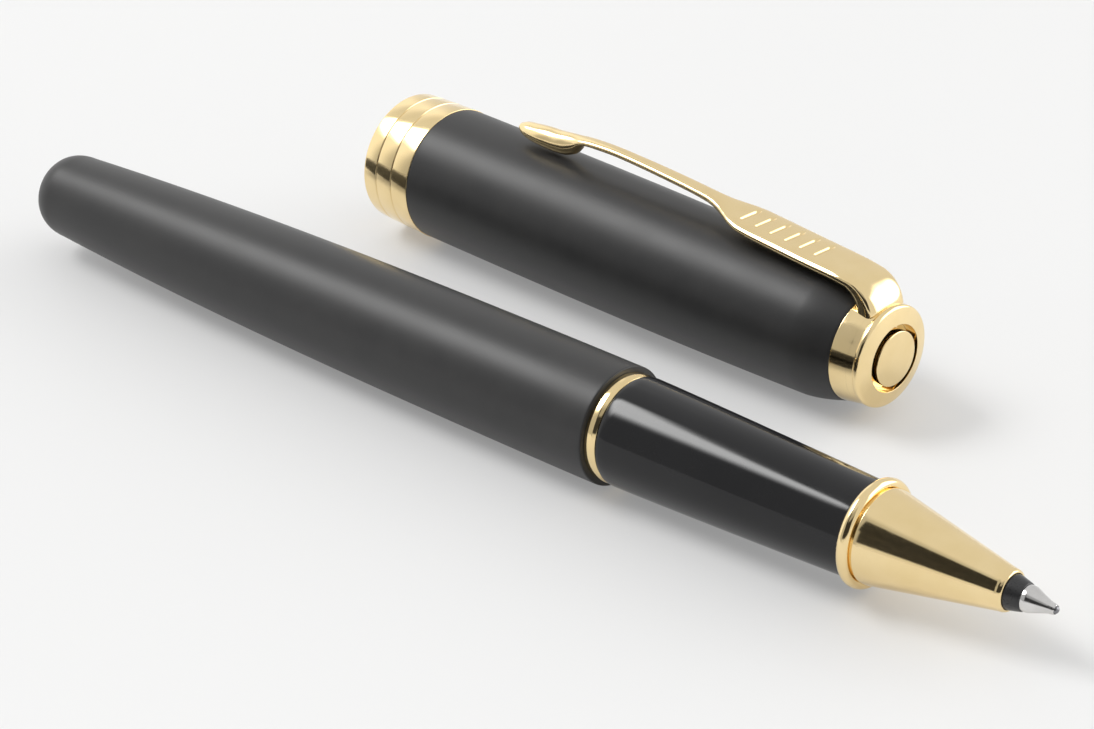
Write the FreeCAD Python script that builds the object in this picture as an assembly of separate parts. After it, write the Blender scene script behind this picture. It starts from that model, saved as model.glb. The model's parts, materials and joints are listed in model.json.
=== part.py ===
import FreeCAD, Part
import math
import os
from FreeCAD import Placement, Rotation, Vector

# Uncapped rollerball pen lying beside its cap.  Millimetres, +X towards the writing tip, +Z up.
# The pen is built along its own axis from the tail (x = 0), the cap from its mouth (x = 0).

# ---------------------------------------------------------------- driving dimensions, pen
PEN_LENGTH = 117.70        # tail to the ball's front
BARREL_LENGTH = 72.95      # tail to the centre ring
BARREL_MAX_R = 5.40        # widest radius of the cigar shape
BARREL_MAX_X = 64.0        # where it is widest
BARREL_TAPER = 1.55        # radius lost from there to the tail
BARREL_TAPER_POWER = 2.56
TAIL_DOME_LENGTH = 3.6
TAIL_DOME_POWER = 2.4      # squareness of the rounded tail
BARREL_BORE_R = 3.50
BARREL_BORE_START = 2.4
INSERT_START = BARREL_LENGTH - 15.0
INSERT_END = BARREL_LENGTH - 0.25
INSERT_R = 4.70
THREAD_R = 4.00
THREAD_PITCH = 0.8
THREAD_DEPTH = 0.22
RUNNING_GAP = 0.06         # radial clearance of turning and sliding fits

CENTRE_RING_END = 74.15
CENTRE_RING_R = 4.89
SECTION_END = 99.35
SECTION_REAR_R = 4.94
SECTION_FRONT_R = 4.18
SECTION_BORE_R = 3.80
LINER_BORE_R = 3.42
FERRULE_START = BARREL_LENGTH - 11.5
FERRULE_END = CENTRE_RING_END + 4.6
LINER_END_X = SECTION_END - 2.3
FRONT_RING_END = 100.65
FRONT_RING_R = 4.74
CONE_END = 113.40
CONE_REAR_R = 4.16
CONE_FRONT_R = 1.74
CONE_LIP = 0.09            # how far the rounded lip at its front stands out
SPIGOT_START = SECTION_END - 7.2

REFILL_R = 3.00
REFILL_TUBE_BORE_R = 2.72
REFILL_START = 9.5
REFILL_TUBE_START = 10.3
REFILL_TUBE_END = CONE_END - 11.7
REFILL_SHOULDER = CONE_END - 11.1
REFILL_TAPER_END = CONE_END - 5.8
NOSE_HOLDER_START = REFILL_TUBE_END - 7.0
RESERVOIR_END = NOSE_HOLDER_START - 6.5
COLLAR_R = 1.50
COLLAR_END = PEN_LENGTH - 2.95
COLLAR_FRONT_R = 1.20
TIP_SPIGOT_START = COLLAR_END - 3.4
TIP_SPIGOT_R = 0.80
BALL_R = 0.35
SPRING_R = 2.10
SPRING_WIRE_R = 0.22
SPRING_START = 4.05
SPRING_END = 9.22
SPRING_TURNS = 5

# ---------------------------------------------------------------- driving dimensions, cap
CAP_MAX_R = 6.43
CAP_MAX_X = 16.0
CAP_TAPER = 0.60
CAP_TAPER_POWER = 2.3
CAP_TAPER_LENGTH = 40.0
BAND_LENGTH = 6.02
BAND_MOUTH_R = 6.29
BAND_REAR_R = 6.47
BAND_GROOVES = (1.78, 3.84)  # centres of the two engraved lines
BAND_GROOVE_WIDTH = 0.14
BAND_GROOVE_DEPTH = 0.10
CAP_BORE_R = 5.20
SHELL_BORE_R = 5.70
SHELL_END = 57.00
SHOULDER_START = 53.0
SHOULDER_DROP = 0.86       # radius lost over the rounded shoulder
LINER_START = 9.0
LINER_STEP = 42.0
LINER_END = 48.6
LINER_STEP_R = 5.30
CLUTCH_START = 24.0
CLUTCH_END = 26.6
CLUTCH_R = 4.90
BUSH_START = 49.3
BUSH_END = 54.1
SCREW_R = 1.75
WASHER_R = 3.40
WASHER_THICKNESS = 0.7
CROWN_BORE_R = 3.60
COLLAR_REAR_R = 5.03
CROWN_COLLAR_FRONT_R = 4.76
CROWN_COLLAR_END = 58.70
FLANGE_NECK_X = 59.36      # the collar's slope runs on over the flange ring to this neck
FLANGE_NECK_R = 4.655
FLANGE_R = 4.74
FLANGE_EDGE = 59.87        # front edge of the flange's rim
FLANGE_FRONT = 60.31       # its crowned face at the recess
RECESS_R = 3.11
RECESS_FLOOR = 59.15
DISC_R = 2.58
DISC_REAR = 59.55
CAP_LENGTH = 60.46         # mouth to the finial disc's face

CLIP_ROLL = 5.0            # degrees the clip leans back from straight up
CLIP_SPLIT = 54.0          # where the springy arm meets the fixed bend
CLIP_BEND_X = 55.95        # centre that the bend turns about
CLIP_BEND_V = 4.30
CLIP_BEND_START = 83       # degrees, where the plate runs into the bend
CLIP_BEND_INNER_R = 1.50
CLIP_BEND_OUTER_R = 2.66
CLIP_LEG_GROWTH = 0.68     # the metal thickens by this much from the bend's start to the leg
CLIP_EYE_X = 57.25
CLIP_EYE_THICKNESS = 0.95
CLIP_EYE_R = 3.50
CLIP_LEG_W = 2.36          # half width of the leg
CLIP_SQUARENESS = 3.2
GROOVE_COUNT = 6           # straight grooves across the clip's plate
GROOVE_FIRST_X = 43.2      # the one nearest the clip's tip
GROOVE_PITCH = 1.7
GROOVE_HALF_LENGTH = 1.7
GROOVE_R = 0.28
GROOVE_DEPTH = 0.14

# ---------------------------------------------------------------- where the two pieces lie
CAP_TILT = 0.6             # degrees, the crown end rests a little lower
CAP_YAW = -1.72            # degrees, the crown end lies a little nearer the pen
CAP_MOUTH_X = 24.51        # cap mouth, measured along the pen from its tail
CAP_OFFSET_Y = 24.25       # from the pen's axis to the middle of the mouth


def barrel_radius(x):
    """Outer radius of the barrel behind its dome."""
    if x < BARREL_MAX_X:
        return BARREL_MAX_R - BARREL_TAPER * ((BARREL_MAX_X - x) / BARREL_MAX_X) ** BARREL_TAPER_POWER
    return BARREL_MAX_R - 0.04 * ((x - BARREL_MAX_X) / 10.0) ** 2


def cap_radius(x):
    """Outer radius of the cap shell in front of its shoulder."""
    if x > CAP_MAX_X:
        return CAP_MAX_R - CAP_TAPER * ((x - CAP_MAX_X) / CAP_TAPER_LENGTH) ** CAP_TAPER_POWER
    return CAP_MAX_R - 0.02 * ((CAP_MAX_X - x) / 10.0) ** 2


def section_radius(x):
    """Outer radius of the grip section."""
    s = (x - CENTRE_RING_END) / (SECTION_END - CENTRE_RING_END)
    return SECTION_REAR_R - (SECTION_REAR_R - SECTION_FRONT_R) * s ** 1.2


def cone_radius(x):
    """Outer radius of the nose cone."""
    s = (x - FRONT_RING_END) / (CONE_END - FRONT_RING_END)
    return CONE_REAR_R + (CONE_FRONT_R - CONE_REAR_R) * s


def sample(radius, start, end, count):
    """Points (x, r) on a radius law."""
    step = (end - start) / (count - 1)
    return [(start + i * step, radius(start + i * step)) for i in range(count)]


def turned(outline):
    """Solid of revolution about X.  An outline holds (x, r) corners and lists of points that a
    smooth curve runs through, starting from the corner before it."""
    edges = []
    first = Vector(outline[0][0], 0, outline[0][1])
    last = first
    for item in outline[1:]:
        if isinstance(item, list):
            points = [last] + [Vector(x, 0, r) for x, r in item]
            curve = Part.BSplineCurve()
            curve.interpolate(points)
            edges.append(curve.toShape())
            last = points[-1]
        else:
            point = Vector(item[0], 0, item[1])
            edges.append(Part.LineSegment(last, point).toShape())
            last = point
    edges.append(Part.LineSegment(last, first).toShape())
    face = Part.Face(Part.Wire(edges))
    return face.revolve(Vector(0, 0, 0), Vector(1, 0, 0), 360)


def tube(start, end, outer, inner):
    """Plain tube along X."""
    return turned([(start, inner), (start, outer), (end, outer), (end, inner)])


def rod(start, end, radius):
    """Plain solid cylinder along X."""
    return Part.makeCylinder(radius, end - start, Vector(start, 0, 0), Vector(1, 0, 0))


def dome(start_x, length, top_radius, power, count):
    """Rounded end: (x, r) points on a superellipse, from the axis outwards."""
    points = []
    for i in range(1, count + 1):
        t = math.pi / 2.0 * i / count
        x = length * (1.0 - max(math.cos(t), 0.0) ** (2.0 / power))
        r = top_radius * math.sin(t) ** (2.0 / power)
        points.append((start_x + x, r))
    return points


def ring_grooves(start, end, pitch, crest, root):
    """Zigzag outline that stands for a thread, as (x, r) corners."""
    points = []
    x = start
    while x + pitch < end:
        points.append((x, crest))
        points.append((x + 0.5 * pitch, root))
        x += pitch
    points.append((x, crest))
    return points


# ---------------------------------------------------------------- pen: barrel
def make_barrel_tube():
    tail = dome(0.0, TAIL_DOME_LENGTH, barrel_radius(TAIL_DOME_LENGTH), TAIL_DOME_POWER, 9)
    body = sample(barrel_radius, TAIL_DOME_LENGTH + 4.0, BARREL_LENGTH - 0.25, 9)
    rim = barrel_radius(BARREL_LENGTH)
    return turned([(0, 0), tail + body, (BARREL_LENGTH, rim - 0.22), (BARREL_LENGTH, INSERT_R),
                   (INSERT_START, INSERT_R), (INSERT_START - 0.8, BARREL_BORE_R),
                   (BARREL_BORE_START + 0.4, BARREL_BORE_R), (BARREL_BORE_START, BARREL_BORE_R - 0.4),
                   (BARREL_BORE_START, 0)])


def make_spring_seat():
    seat = BARREL_BORE_START + 0.4
    return turned([(BARREL_BORE_START, 0), (BARREL_BORE_START, BARREL_BORE_R - 0.4), (seat, BARREL_BORE_R),
                   (seat + 1.0, BARREL_BORE_R), (seat + 1.0, 1.5), (seat + 2.4, 1.5), (seat + 2.8, 1.1),
                   (seat + 2.8, 0)])


def make_refill_spring():
    height = SPRING_END - SPRING_START
    helix = Part.makeHelix(height / SPRING_TURNS, height, SPRING_R)
    wire = Part.Wire(helix.Edges)
    section = Part.Wire(Part.makeCircle(SPRING_WIRE_R, Vector(SPRING_R, 0, 0), Vector(0, 1, 0)))
    coil = wire.makePipeShell([section], True, True)
    coil.rotate(Vector(0, 0, 0), Vector(0, 1, 0), 90)
    coil.translate(Vector(SPRING_START, 0, 0))
    return coil


def make_centre_ring():
    bore = THREAD_R + RUNNING_GAP
    return turned([(BARREL_LENGTH + 0.02, bore), (BARREL_LENGTH + 0.02, CENTRE_RING_R - 0.1),
                   (BARREL_LENGTH + 0.12, CENTRE_RING_R), (CENTRE_RING_END - 0.14, CENTRE_RING_R),
                   (CENTRE_RING_END - 0.04, CENTRE_RING_R - 0.1), (CENTRE_RING_END - 0.04, bore)])


# ---------------------------------------------------------------- pen: section and nose
def make_threaded_ferrule():
    thread = ring_grooves(FERRULE_START + 0.6, BARREL_LENGTH - 1.6, THREAD_PITCH, THREAD_R,
                          THREAD_R - THREAD_DEPTH)
    return turned([(FERRULE_START, LINER_BORE_R), (FERRULE_START, THREAD_R - 0.3)] + thread +
                  [(CENTRE_RING_END, THREAD_R), (CENTRE_RING_END, SECTION_BORE_R),
                   (FERRULE_END, SECTION_BORE_R), (FERRULE_END, LINER_BORE_R)])


def make_grip_section():
    side = sample(section_radius, CENTRE_RING_END + 0.25, SECTION_END - 0.12, 8)
    return turned([(CENTRE_RING_END, SECTION_BORE_R), (CENTRE_RING_END, SECTION_REAR_R - 0.2),
                   side[0], side[1:], (SECTION_END, SECTION_FRONT_R - 0.1), (SECTION_END, SECTION_BORE_R)])


def make_front_ring():
    rear_x = SECTION_END
    middle_r = FRONT_RING_R - 0.5
    half = 0.56
    bead = [(rear_x + half + half * math.sin(a), middle_r + 0.5 * math.cos(a))
            for a in [math.radians(d) for d in range(-75, 91, 15)]]
    return turned([(rear_x, LINER_BORE_R), (rear_x, middle_r), bead,
                   (rear_x + 2 * half, CONE_REAR_R - 0.16), (FRONT_RING_END, CONE_REAR_R - 0.16),
                   (FRONT_RING_END, LINER_BORE_R)])


def make_nose_cone():
    bore = REFILL_R + 0.07
    side = sample(cone_radius, FRONT_RING_END + 0.15, CONE_END - 1.1, 8)
    lip = [(CONE_END - 0.62, CONE_FRONT_R + CONE_LIP + 0.05), (CONE_END - 0.35, CONE_FRONT_R + CONE_LIP),
           (CONE_END - 0.12, CONE_FRONT_R + 0.02)]
    return turned([(SPIGOT_START, bore), (SPIGOT_START, LINER_BORE_R), (FRONT_RING_END, LINER_BORE_R),
                   (FRONT_RING_END, CONE_REAR_R - 0.12), side[0], side[1:], lip,
                   (CONE_END, CONE_FRONT_R - 0.1), (CONE_END, COLLAR_R + RUNNING_GAP),
                   (CONE_END - 5.4, COLLAR_R + RUNNING_GAP), (REFILL_SHOULDER + 0.4, bore)])


# ---------------------------------------------------------------- pen: refill
def make_refill_rear_plug():
    return turned([(REFILL_START, 0.5), (REFILL_START, REFILL_R - 0.2), (REFILL_START + 0.2, REFILL_R),
                   (REFILL_TUBE_START, REFILL_R), (REFILL_TUBE_START, REFILL_TUBE_BORE_R),
                   (14.0, REFILL_TUBE_BORE_R), (14.0, 0.5)])


def make_refill_nose_holder():
    return turned([(NOSE_HOLDER_START, 0.5), (NOSE_HOLDER_START, REFILL_TUBE_BORE_R),
                   (REFILL_TUBE_END, REFILL_TUBE_BORE_R), (REFILL_TUBE_END, REFILL_R),
                   (REFILL_SHOULDER, REFILL_R), (REFILL_TAPER_END, COLLAR_R),
                   (CONE_END + 0.15, COLLAR_R), (COLLAR_END, COLLAR_FRONT_R), (COLLAR_END, TIP_SPIGOT_R),
                   (TIP_SPIGOT_START, TIP_SPIGOT_R), (TIP_SPIGOT_START, 0.5)])


def make_writing_tip():
    ball_x = PEN_LENGTH - BALL_R
    socket_r = BALL_R + 0.04
    socket = []
    for degrees in (84, 96, 108, 120, 130, 140):
        a = math.radians(degrees)
        socket.append((ball_x + socket_r * math.cos(a), socket_r * math.sin(a)))
    return turned([(TIP_SPIGOT_START, 0.25), (TIP_SPIGOT_START, TIP_SPIGOT_R), (COLLAR_END, TIP_SPIGOT_R),
                   (COLLAR_END, 1.10), (COLLAR_END + 0.12, 1.14), (COLLAR_END + 0.35, 1.14),
                   (ball_x - 0.42, 0.50), (ball_x + 0.02, 0.45), (ball_x + 0.12, 0.42),
                   (ball_x + 0.12, 0.371), socket])


# ---------------------------------------------------------------- cap: mouth and shell
def make_cap_lip_band():
    slope = (BAND_REAR_R - BAND_MOUTH_R) / BAND_LENGTH
    outline = [(0, CAP_BORE_R + 0.15), (0, BAND_MOUTH_R - 0.22), (0.06, BAND_MOUTH_R - 0.08),
               (0.22, BAND_MOUTH_R)]
    for centre in BAND_GROOVES:
        radius = BAND_MOUTH_R + slope * centre
        half = BAND_GROOVE_WIDTH / 2.0
        outline += [(centre - half, radius), (centre - half / 2.0, radius - BAND_GROOVE_DEPTH),
                    (centre + half / 2.0, radius - BAND_GROOVE_DEPTH), (centre + half, radius)]
    outline += [(BAND_LENGTH - 0.05, BAND_REAR_R), (BAND_LENGTH, BAND_REAR_R - 0.05),
                (BAND_LENGTH, SHELL_BORE_R), (LINER_START, SHELL_BORE_R), (LINER_START, CAP_BORE_R),
                (0.15, CAP_BORE_R)]
    return turned(outline)


def make_cap_shell():
    side = sample(cap_radius, BAND_LENGTH + 0.1, SHOULDER_START, 9)
    top = cap_radius(SHOULDER_START)
    length = SHELL_END - 0.12 - SHOULDER_START
    shoulder = []
    for i in range(1, 9):
        s = i / 8
        shoulder.append((SHOULDER_START + length * s, top - SHOULDER_DROP * s ** 1.5))
    seat = SHELL_END - WASHER_THICKNESS
    return turned([(BAND_LENGTH, SHELL_BORE_R), (BAND_LENGTH, cap_radius(BAND_LENGTH) - 0.06), side[0],
                   side[1:], shoulder, (SHELL_END, top - SHOULDER_DROP - 0.14), (SHELL_END, WASHER_R),
                   (seat, WASHER_R), (seat, SCREW_R + 0.1), (BUSH_END, SCREW_R + 0.1),
                   (BUSH_END, LINER_STEP_R), (LINER_STEP, LINER_STEP_R), (LINER_STEP, SHELL_BORE_R)])


def make_cap_inner_liner():
    return turned([(LINER_START, CAP_BORE_R), (LINER_START, SHELL_BORE_R), (LINER_STEP, SHELL_BORE_R),
                   (LINER_STEP, LINER_STEP_R), (LINER_END, LINER_STEP_R), (LINER_END, 0),
                   (LINER_END - 1.1, 0), (LINER_END - 1.1, 2.8), (LINER_END - 1.5, 3.2), (LINER_STEP, 3.2),
                   (31.0, CAP_BORE_R), (CLUTCH_END, CAP_BORE_R), (CLUTCH_END, 5.45),
                   (CLUTCH_START, 5.45), (CLUTCH_START, CAP_BORE_R)])


def make_cap_clutch_ring():
    middle = (CLUTCH_START + CLUTCH_END) / 2.0
    return turned([(CLUTCH_START, CAP_BORE_R), (CLUTCH_START, 5.45), (CLUTCH_END, 5.45),
                   (CLUTCH_END, CAP_BORE_R), (middle + 0.4, CLUTCH_R), (middle - 0.4, CLUTCH_R)])


# ---------------------------------------------------------------- cap: crown
def make_crown_collar():
    cup = turned([(SHELL_END, SCREW_R), (SHELL_END, COLLAR_REAR_R - 0.08),
                  (SHELL_END + 0.08, COLLAR_REAR_R), (CROWN_COLLAR_END, CROWN_COLLAR_FRONT_R),
                  (CROWN_COLLAR_END, CROWN_BORE_R), (CLIP_EYE_X, CROWN_BORE_R), (CLIP_EYE_X, SCREW_R)])
    slot_start = CLIP_BEND_X + CLIP_BEND_INNER_R - 0.18
    slot = Part.makeBox(2.0, 2 * CLIP_LEG_W + 0.2, 3.0, Vector(slot_start, -CLIP_LEG_W - 0.1, 2.8))
    return cup.cut(slot)


def make_crown_flange_ring():
    eye_front = CLIP_EYE_X + CLIP_EYE_THICKNESS + 0.05
    start = CROWN_COLLAR_END + 0.02
    return turned([(eye_front, SCREW_R), (eye_front, CROWN_BORE_R - 0.05), (start, CROWN_BORE_R - 0.05),
                   (start, CROWN_COLLAR_FRONT_R - 0.003), (FLANGE_NECK_X, FLANGE_NECK_R),
                   (FLANGE_NECK_X + 0.12, FLANGE_R),
                   [(FLANGE_EDGE - 0.15, FLANGE_R - 0.05), (FLANGE_EDGE, FLANGE_R - 0.2),
                    (FLANGE_EDGE + 0.07, FLANGE_R - 0.4)],
                   (FLANGE_FRONT, RECESS_R + 0.08), (FLANGE_FRONT - 0.06, RECESS_R),
                   (RECESS_FLOOR, RECESS_R), (RECESS_FLOOR, SCREW_R)])


def make_finial_disc():
    return turned([(DISC_REAR, 0), (DISC_REAR, DISC_R), (CAP_LENGTH - 0.14, DISC_R),
                   (CAP_LENGTH - 0.04, DISC_R - 0.04), (CAP_LENGTH, DISC_R - 0.14), (CAP_LENGTH, 0)])


# ---------------------------------------------------------------- cap: clip
# (x along the cap, v out from the cap's axis, half width, half thickness), from bend to tip
CLIP_STATIONS = ((54.0, 6.84, 2.46, 0.50), (51.5, 7.02, 2.52, 0.52), (48.5, 7.20, 2.52, 0.50),
                 (45.5, 7.35, 2.52, 0.48), (43.6, 7.46, 2.44, 0.46), (42.4, 7.62, 2.16, 0.44),
                 (41.3, 7.82, 1.68, 0.42), (40.2, 8.04, 1.20, 0.40), (38.8, 8.28, 0.90, 0.37),
                 (36.5, 8.51, 0.80, 0.35), (33.0, 8.74, 0.76, 0.33), (30.0, 8.88, 0.72, 0.33),
                 (27.0, 8.96, 0.68, 0.33), (24.5, 8.88, 0.70, 0.33), (22.4, 8.70, 0.82, 0.35),
                 (20.0, 8.44, 1.02, 0.38), (18.0, 8.22, 1.05, 0.42), (16.2, 8.04, 0.92, 0.44),
                 (15.3, 7.95, 0.72, 0.38), (14.95, 7.92, 0.50, 0.26))
BOWL_CENTRE = Vector(19.0, 0, 7.72)
BOWL_HALF_SIZE = (3.9, 1.12, 1.16)


def clip_section(x, v, angle, half_width, half_thickness):
    """Closed rounded-rectangle wire; angle 0 faces it outwards along X, 90 outwards along Z."""
    out = Vector(math.cos(math.radians(angle)), 0, math.sin(math.radians(angle)))
    points = []
    for i in range(24):
        t = 2.0 * math.pi * (i + 0.5) / 24
        c = math.cos(t)
        s = math.sin(t)
        across = half_width * math.copysign(abs(c) ** (2.0 / CLIP_SQUARENESS), c)
        through = half_thickness * math.copysign(abs(s) ** (2.0 / CLIP_SQUARENESS), s)
        points.append(Vector(x, across, v) + out * through)
    curve = Part.BSplineCurve()
    curve.interpolate(points, PeriodicFlag=True)
    return Part.Wire(curve.toShape())


def clip_top(x):
    """Height of the clip's outer face above the cap's axis."""
    for near, far in zip(CLIP_STATIONS[1:], CLIP_STATIONS):
        if near[0] <= x <= far[0]:
            share = (x - near[0]) / (far[0] - near[0])
            return near[1] + near[3] + share * (far[1] + far[3] - near[1] - near[3])
    return CLIP_STATIONS[0][1] + CLIP_STATIONS[0][3]


def bend_section(angle):
    """Section of the bend; angle 90 is its top and 0 its leg."""
    outer = CLIP_BEND_OUTER_R + CLIP_LEG_GROWTH * (1.0 - angle / 90.0) ** 1.8
    inner = CLIP_BEND_INNER_R + 0.33 * (angle / 90.0) ** 4
    middle = (outer + inner) / 2.0
    turn = math.radians(angle)
    return clip_section(CLIP_BEND_X + middle * math.cos(turn), CLIP_BEND_V + middle * math.sin(turn), angle,
                        CLIP_LEG_W, (outer - inner) / 2.0)


def make_clip_root():
    leg_rear = CLIP_BEND_X + CLIP_BEND_INNER_R
    x, v, half_width, half_thickness = CLIP_STATIONS[0]
    sections = [bend_section(angle) for angle in (0, 20, 40, 60, CLIP_BEND_START)]
    sections.append(clip_section(x + 1.1, v - 0.14, 87, half_width - 0.09, half_thickness - 0.03))
    sections.append(clip_section(x, v, 90, half_width, half_thickness))
    bend = Part.makeLoft(sections, True, False)
    leg = Part.Face(bend_section(0)).extrude(Vector(0, 0, -0.55))
    over_flange = tube(CROWN_COLLAR_END - 0.02, CAP_LENGTH, CROWN_COLLAR_FRONT_R + 0.02, 1.0)
    tongue = Part.makeBox(CLIP_EYE_X + CLIP_EYE_THICKNESS - leg_rear, 2 * CLIP_LEG_W, 1.8,
                          Vector(leg_rear, -CLIP_LEG_W, 2.0))
    eye = tube(CLIP_EYE_X, CLIP_EYE_X + CLIP_EYE_THICKNESS, CLIP_EYE_R, SCREW_R + 0.05)
    return bend.fuse(leg).cut(over_flange).fuse([tongue, eye]).removeSplitter()


def make_clip_arm():
    arm = Part.makeLoft([clip_section(x - 0.05 if x == CLIP_SPLIT else x, v, 90, w, h)
                         for x, v, w, h in CLIP_STATIONS], True, False)
    bowl = Part.makeSphere(1.0, Vector(0, 0, 0))
    stretch = FreeCAD.Matrix()
    stretch.scale(*BOWL_HALF_SIZE)
    bowl = bowl.transformGeometry(stretch)
    bowl.translate(BOWL_CENTRE)
    arm = arm.fuse(bowl)
    for i in range(GROOVE_COUNT):
        x = GROOVE_FIRST_X + i * GROOVE_PITCH
        start = Vector(x, -GROOVE_HALF_LENGTH, clip_top(x) + GROOVE_R - GROOVE_DEPTH)
        arm = arm.cut(Part.makeCylinder(GROOVE_R, 2 * GROOVE_HALF_LENGTH, start, Vector(0, 1, 0)))
    return arm


def lean(shape):
    """Lean a clip-side shape back about the cap's axis."""
    shape.rotate(Vector(0, 0, 0), Vector(1, 0, 0), -CLIP_ROLL)
    return shape


# ---------------------------------------------------------------- build, place and write
def cap_mouth_height():
    """Height of the mouth's centre with the cap resting on its side at its tilt."""
    tilt = math.radians(CAP_TILT)
    heights = []
    for x in range(6, 54):
        heights.append(x * math.sin(tilt) + cap_radius(x) * math.cos(tilt))
    return max(heights)


pen_nodes = {
    "barrel_tube": make_barrel_tube(),
    "barrel_thread_insert": tube(INSERT_START, INSERT_END, INSERT_R, THREAD_R + RUNNING_GAP),
    "spring_seat": make_spring_seat(),
    "refill_spring": make_refill_spring(),
    "centre_ring": make_centre_ring(),
    "threaded_ferrule": make_threaded_ferrule(),
    "grip_section": make_grip_section(),
    "section_liner": tube(FERRULE_END, LINER_END_X, SECTION_BORE_R, LINER_BORE_R),
    "front_ring": make_front_ring(),
    "nose_cone": make_nose_cone(),
    "refill_rear_plug": make_refill_rear_plug(),
    "refill_tube": tube(REFILL_TUBE_START, REFILL_TUBE_END, REFILL_R, REFILL_TUBE_BORE_R),
    "ink_reservoir": rod(14.5, RESERVOIR_END, REFILL_TUBE_BORE_R - 0.04),
    "refill_nose_holder": make_refill_nose_holder(),
    "ink_feed_rod": rod(RESERVOIR_END + 0.5, TIP_SPIGOT_START - 0.1, 0.48),
    "writing_tip": make_writing_tip(),
    "writing_ball": Part.makeSphere(BALL_R, Vector(PEN_LENGTH - BALL_R, 0, 0)),
}

cap_nodes = {
    "cap_lip_band": make_cap_lip_band(),
    "cap_shell": make_cap_shell(),
    "cap_inner_liner": make_cap_inner_liner(),
    "cap_clutch_ring": make_cap_clutch_ring(),
    "threaded_bush": tube(BUSH_START, BUSH_END, LINER_STEP_R, SCREW_R),
    "crown_washer": tube(SHELL_END - WASHER_THICKNESS, SHELL_END, WASHER_R, SCREW_R),
    "crown_collar": lean(make_crown_collar()),
    "clip_root": lean(make_clip_root()),
    "clip_arm": lean(make_clip_arm()),
    "crown_flange_ring": make_crown_flange_ring(),
    "finial_disc": make_finial_disc(),
    "finial_screw": rod(BUSH_START + 0.4, DISC_REAR, SCREW_R),
}

cap_far_y = CAP_OFFSET_Y + BAND_REAR_R + BAND_LENGTH * math.sin(math.radians(CAP_YAW))
middle_y = (cap_far_y - BARREL_MAX_R) / 2.0
pen_place = Placement(Vector(-PEN_LENGTH / 2.0, -middle_y, BARREL_MAX_R), Rotation())
cap_turn = Rotation(Vector(0, 0, 1), CAP_YAW).multiply(Rotation(Vector(0, 1, 0), CAP_TILT))
cap_place = Placement(Vector(CAP_MOUTH_X - PEN_LENGTH / 2.0, CAP_OFFSET_Y - middle_y, cap_mouth_height()),
                      cap_turn)

os.makedirs("parts", exist_ok=True)
for nodes, place in ((pen_nodes, pen_place), (cap_nodes, cap_place)):
    for name, shape in nodes.items():
        placed = shape.copy()
        placed.transformShape(place.toMatrix(), True)
        placed.exportStep("parts/" + name + ".step")
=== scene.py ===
import bpy
import json
import math
from mathutils import Matrix, Vector

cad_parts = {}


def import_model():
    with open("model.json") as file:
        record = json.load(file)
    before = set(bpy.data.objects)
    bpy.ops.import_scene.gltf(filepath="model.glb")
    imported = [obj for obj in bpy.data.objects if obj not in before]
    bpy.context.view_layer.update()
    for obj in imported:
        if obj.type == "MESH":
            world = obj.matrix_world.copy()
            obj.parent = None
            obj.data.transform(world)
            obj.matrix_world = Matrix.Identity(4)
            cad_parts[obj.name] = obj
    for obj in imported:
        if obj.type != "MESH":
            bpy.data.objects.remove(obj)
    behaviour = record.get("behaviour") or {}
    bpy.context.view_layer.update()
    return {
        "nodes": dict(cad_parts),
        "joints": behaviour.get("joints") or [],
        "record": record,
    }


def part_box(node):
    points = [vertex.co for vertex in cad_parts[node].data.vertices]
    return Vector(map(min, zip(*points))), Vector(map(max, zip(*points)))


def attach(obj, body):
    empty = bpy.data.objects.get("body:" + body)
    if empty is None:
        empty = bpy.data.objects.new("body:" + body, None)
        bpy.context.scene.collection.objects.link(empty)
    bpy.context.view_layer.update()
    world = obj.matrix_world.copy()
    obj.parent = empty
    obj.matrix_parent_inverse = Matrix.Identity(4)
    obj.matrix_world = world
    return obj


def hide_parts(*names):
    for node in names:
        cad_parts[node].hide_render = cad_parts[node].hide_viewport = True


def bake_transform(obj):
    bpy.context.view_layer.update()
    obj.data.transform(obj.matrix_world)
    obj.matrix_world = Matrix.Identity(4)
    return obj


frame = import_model()

MM = 0.001

# ------------------------------------------------------------------ places, all read from the frame
mounts = {mount["name"]: mount for mount in frame["record"]["mounts"]}
joints = {joint["name"]: joint for joint in frame["joints"]}

barrel_low, barrel_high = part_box("barrel_tube")
tail = Vector((barrel_low.x, (barrel_low.y + barrel_high.y) / 2, (barrel_low.z + barrel_high.z) / 2))
PEN = Matrix.Translation(tail) @ Matrix.Scale(MM, 4)

MOUTH_MOUNT_DEPTH = 12.0 * MM
cap_x = -Vector(mounts["cap_mouth"]["axis"]).normalized()
cap_origin = Vector(mounts["cap_mouth"]["pos_m"]) - cap_x * MOUTH_MOUNT_DEPTH
clip_y = Vector(joints["clip_flex"]["axis"]).normalized()
clip_z = cap_x.cross(clip_y).normalized()
CAP = Matrix.Identity(4)
for row in range(3):
    CAP[row] = (cap_x[row] * MM, clip_y[row] * MM, clip_z[row] * MM, cap_origin[row])


# ------------------------------------------------------------------ mesh helpers
SEGMENTS, TIP_SEGMENTS, BALL_SEGMENTS = 160, 96, 64
TURNED_SHARP, CLIP_SHARP = 32, 50      # degrees: steeper edges are shaded sharp
ROUNDING_STEPS = 5


def smooth_object(name, verts, faces, place, material, sharp):
    mesh = bpy.data.meshes.new(name)
    mesh.from_pydata([place @ Vector(v) for v in verts], [], faces)
    mesh.validate()
    mesh.shade_smooth()
    mesh.set_sharp_from_angle(angle=math.radians(sharp))
    mesh.materials.append(material)
    piece = bpy.data.objects.new(name, mesh)
    bpy.context.scene.collection.objects.link(piece)
    return piece


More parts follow.
